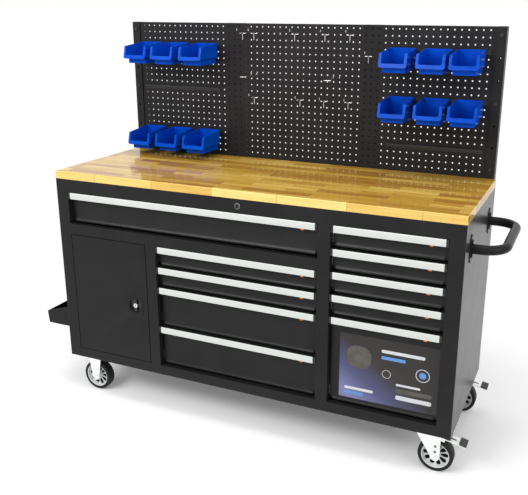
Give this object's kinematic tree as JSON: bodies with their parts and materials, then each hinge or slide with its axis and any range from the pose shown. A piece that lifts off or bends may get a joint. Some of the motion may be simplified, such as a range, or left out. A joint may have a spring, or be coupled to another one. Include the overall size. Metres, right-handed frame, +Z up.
{
  "type": "rolling tool cabinet",
  "caption": "Steel tool cabinet on casters with drawers, a side door, a wooden worktop, a push handle, a side tray and a pegboard wall with hooks and hanging bins.",
  "frame": {"origin": "middle of the object's underside: centre of the overall box at floor level", "axes": "+X to the right along the front, +Y from the front to the back, +Z up"},
  "size_m": [1.815, 0.598, 1.482],
  "materials": {
    "worktop_wood": "oiled block-glued hardwood",
    "body_steel": "black powder coat",
    "drawer_steel": "black powder coat",
    "inner_steel": "black powder coat",
    "slide_steel": "zinc plated",
    "handle_steel": "black powder coat",
    "board_steel": "black powder coat",
    "rail_steel": "black powder coat",
    "hook_wire": "bright plated wire",
    "caster_steel": "bright zinc plated",
    "fastener_steel": "black oxide",
    "bin_plastic": "moulded polypropylene",
    "latch_black": "satin moulding with a bright key barrel",
    "lock_chrome": "plated",
    "pull_white": "light silver anodised, with black end caps",
    "catch_orange": "moulded",
    "wheel_rubber": "moulded tread on a pale rim"
  },
  "bodies": {
    "cabinet": {"worktop": "worktop_wood", "front_frame": "body_steel", "side_panels": "body_steel", "back_panel": "body_steel", "base_pan": "body_steel", "inner_panels": "inner_steel", "slide_rails": "slide_steel", "push_handle": "handle_steel", "side_tray": "body_steel", "pegboard": "board_steel", "pegboard_posts": "board_steel", "bin_rails": "rail_steel", "peg_hooks": "hook_wire", "caster_mounts": "caster_steel", "fasteners": "fastener_steel", "bins_left_top": "bin_plastic", "bins_left_bottom": "bin_plastic", "bins_right_top": "bin_plastic", "bins_right_middle": "bin_plastic"},
    "door": {"door": "body_steel"},
    "door_latch": {"door_latch": "latch_black"},
    "cabinet_lock": {"cabinet_lock": "lock_chrome"},
    "wide_drawer": {"wide_drawer": "drawer_steel", "wide_drawer_pull": "pull_white"},
    "wide_drawer_catch": {"wide_drawer_catch": "catch_orange"},
    "centre_drawer_1": {"centre_drawer_1": "drawer_steel", "centre_drawer_1_pull": "pull_white"},
    "centre_drawer_1_catch": {"centre_drawer_1_catch": "catch_orange"},
    "centre_drawer_2": {"centre_drawer_2": "drawer_steel", "centre_drawer_2_pull": "pull_white"},
    "centre_drawer_2_catch": {"centre_drawer_2_catch": "catch_orange"},
    "centre_drawer_3": {"centre_drawer_3": "drawer_steel", "centre_drawer_3_pull": "pull_white"},
    "centre_drawer_3_catch": {"centre_drawer_3_catch": "catch_orange"},
    "centre_drawer_4": {"centre_drawer_4": "drawer_steel", "centre_drawer_4_pull": "pull_white"},
    "centre_drawer_4_catch": {"centre_drawer_4_catch": "catch_orange"},
    "right_drawer_1": {"right_drawer_1": "drawer_steel", "right_drawer_1_pull": "pull_white"},
    "right_drawer_1_catch": {"right_drawer_1_catch": "catch_orange"},
    "right_drawer_2": {"right_drawer_2": "drawer_steel", "right_drawer_2_pull": "pull_white"},
    "right_drawer_2_catch": {"right_drawer_2_catch": "catch_orange"},
    "right_drawer_3": {"right_drawer_3": "drawer_steel", "right_drawer_3_pull": "pull_white"},
    "right_drawer_3_catch": {"right_drawer_3_catch": "catch_orange"},
    "right_drawer_4": {"right_drawer_4": "drawer_steel", "right_drawer_4_pull": "pull_white"},
    "right_drawer_4_catch": {"right_drawer_4_catch": "catch_orange"},
    "right_drawer_5": {"right_drawer_5": "drawer_steel", "right_drawer_5_pull": "pull_white"},
    "right_drawer_5_catch": {"right_drawer_5_catch": "catch_orange"},
    "wheel_left_front": {"wheel_left_front": "wheel_rubber"},
    "wheel_left_rear": {"wheel_left_rear": "wheel_rubber"},
    "wheel_right_front": {"wheel_right_front": "wheel_rubber"},
    "swivel_fork_right_front": {"swivel_fork_right_front": "caster_steel"},
    "brake_pedal_right_front": {"brake_pedal_right_front": "caster_steel"},
    "wheel_right_rear": {"wheel_right_rear": "wheel_rubber"},
    "swivel_fork_right_rear": {"swivel_fork_right_rear": "caster_steel"},
    "brake_pedal_right_rear": {"brake_pedal_right_rear": "caster_steel"}
  },
  "joints": [
    {"name": "wide_drawer_slide", "type": "slide", "parent": "cabinet", "child": "wide_drawer", "axis": [0, -1, 0], "range_m": [0, 0.38]},
    {"name": "wide_drawer_catch_slide", "type": "slide", "parent": "wide_drawer", "child": "wide_drawer_catch", "axis": [-1, 0, 0], "range_m": [0, 0.008], "stiffness_N_per_m": 200, "springref_m": -0.004},
    {"name": "centre_drawer_1_slide", "type": "slide", "parent": "cabinet", "child": "centre_drawer_1", "axis": [0, -1, 0], "range_m": [0, 0.38]},
    {"name": "centre_drawer_1_catch_slide", "type": "slide", "parent": "centre_drawer_1", "child": "centre_drawer_1_catch", "axis": [-1, 0, 0], "range_m": [0, 0.008], "stiffness_N_per_m": 200, "springref_m": -0.004},
    {"name": "centre_drawer_2_slide", "type": "slide", "parent": "cabinet", "child": "centre_drawer_2", "axis": [0, -1, 0], "range_m": [0, 0.38]},
    {"name": "centre_drawer_2_catch_slide", "type": "slide", "parent": "centre_drawer_2", "child": "centre_drawer_2_catch", "axis": [-1, 0, 0], "range_m": [0, 0.008], "stiffness_N_per_m": 200, "springref_m": -0.004},
    {"name": "centre_drawer_3_slide", "type": "slide", "parent": "cabinet", "child": "centre_drawer_3", "axis": [0, -1, 0], "range_m": [0, 0.38]},
    {"name": "centre_drawer_3_catch_slide", "type": "slide", "parent": "centre_drawer_3", "child": "centre_drawer_3_catch", "axis": [-1, 0, 0], "range_m": [0, 0.008], "stiffness_N_per_m": 200, "springref_m": -0.004},
    {"name": "centre_drawer_4_slide", "type": "slide", "parent": "cabinet", "child": "centre_drawer_4", "axis": [0, -1, 0], "range_m": [0, 0.38]},
    {"name": "centre_drawer_4_catch_slide", "type": "slide", "parent": "centre_drawer_4", "child": "centre_drawer_4_catch", "axis": [-1, 0, 0], "range_m": [0, 0.008], "stiffness_N_per_m": 200, "springref_m": -0.004},
    {"name": "right_drawer_1_slide", "type": "slide", "parent": "cabinet", "child": "right_drawer_1", "axis": [0, -1, 0], "range_m": [0, 0.38]},
    {"name": "right_drawer_1_catch_slide", "type": "slide", "parent": "right_drawer_1", "child": "right_drawer_1_catch", "axis": [-1, 0, 0], "range_m": [0, 0.008], "stiffness_N_per_m": 200, "springref_m": -0.004},
    {"name": "right_drawer_2_slide", "type": "slide", "parent": "cabinet", "child": "right_drawer_2", "axis": [0, -1, 0], "range_m": [0, 0.38]},
    {"name": "right_drawer_2_catch_slide", "type": "slide", "parent": "right_drawer_2", "child": "right_drawer_2_catch", "axis": [-1, 0, 0], "range_m": [0, 0.008], "stiffness_N_per_m": 200, "springref_m": -0.004},
    {"name": "right_drawer_3_slide", "type": "slide", "parent": "cabinet", "child": "right_drawer_3", "axis": [0, -1, 0], "range_m": [0, 0.38]},
    {"name": "right_drawer_3_catch_slide", "type": "slide", "parent": "right_drawer_3", "child": "right_drawer_3_catch", "axis": [-1, 0, 0], "range_m": [0, 0.008], "stiffness_N_per_m": 200, "springref_m": -0.004},
    {"name": "right_drawer_4_slide", "type": "slide", "parent": "cabinet", "child": "right_drawer_4", "axis": [0, -1, 0], "range_m": [0, 0.38]},
    {"name": "right_drawer_4_catch_slide", "type": "slide", "parent": "right_drawer_4", "child": "right_drawer_4_catch", "axis": [-1, 0, 0], "range_m": [0, 0.008], "stiffness_N_per_m": 200, "springref_m": -0.004},
    {"name": "right_drawer_5_slide", "type": "slide", "parent": "cabinet", "child": "right_drawer_5", "axis": [0, -1, 0], "range_m": [0, 0.38]},
    {"name": "right_drawer_5_catch_slide", "type": "slide", "parent": "right_drawer_5", "child": "right_drawer_5_catch", "axis": [-1, 0, 0], "range_m": [0, 0.008], "stiffness_N_per_m": 200, "springref_m": -0.004},
    {"name": "door_hinge", "type": "hinge", "parent": "cabinet", "child": "door", "pos_m": [-0.729, -0.291, 0.446], "axis": [0, 0, -1], "range_deg": [0, 110]},
    {"name": "door_latch_turn", "type": "hinge", "parent": "door", "child": "door_latch", "pos_m": [-0.451, -0.295, 0.436], "axis": [0, 1, 0], "range_deg": [0, 90]},
    {"name": "cabinet_lock_turn", "type": "hinge", "parent": "cabinet", "child": "cabinet_lock", "pos_m": [0, -0.295, 0.8845], "axis": [0, 1, 0], "range_deg": [0, 90]},
    {"name": "spin_left_front", "type": "hinge", "parent": "cabinet", "child": "wheel_left_front", "pos_m": [-0.6975, -0.236, 0.0625], "axis": [0, 1, 0], "continuous": true},
    {"name": "spin_left_rear", "type": "hinge", "parent": "cabinet", "child": "wheel_left_rear", "pos_m": [-0.6975, 0.2, 0.0625], "axis": [0, 1, 0], "continuous": true},
    {"name": "swivel_right_front", "type": "hinge", "parent": "cabinet", "child": "swivel_fork_right_front", "pos_m": [0.6975, -0.236, 0.1457], "axis": [0, 0, 1], "continuous": true},
    {"name": "brake_right_front", "type": "hinge", "parent": "swivel_fork_right_front", "child": "brake_pedal_right_front", "pos_m": [0.7415, -0.236, 0.1377], "axis": [0, 1, 0], "range_deg": [0, 10]},
    {"name": "spin_right_front", "type": "hinge", "parent": "swivel_fork_right_front", "child": "wheel_right_front", "pos_m": [0.7325, -0.236, 0.0625], "axis": [0, 1, 0], "continuous": true},
    {"name": "swivel_right_rear", "type": "hinge", "parent": "cabinet", "child": "swivel_fork_right_rear", "pos_m": [0.6975, 0.2, 0.1457], "axis": [0, 0, 1], "continuous": true},
    {"name": "brake_right_rear", "type": "hinge", "parent": "swivel_fork_right_rear", "child": "brake_pedal_right_rear", "pos_m": [0.7415, 0.2, 0.1377], "axis": [0, 1, 0], "range_deg": [0, 10]},
    {"name": "spin_right_rear", "type": "hinge", "parent": "swivel_fork_right_rear", "child": "wheel_right_rear", "pos_m": [0.7325, 0.2, 0.0625], "axis": [0, 1, 0], "continuous": true}
  ]
}
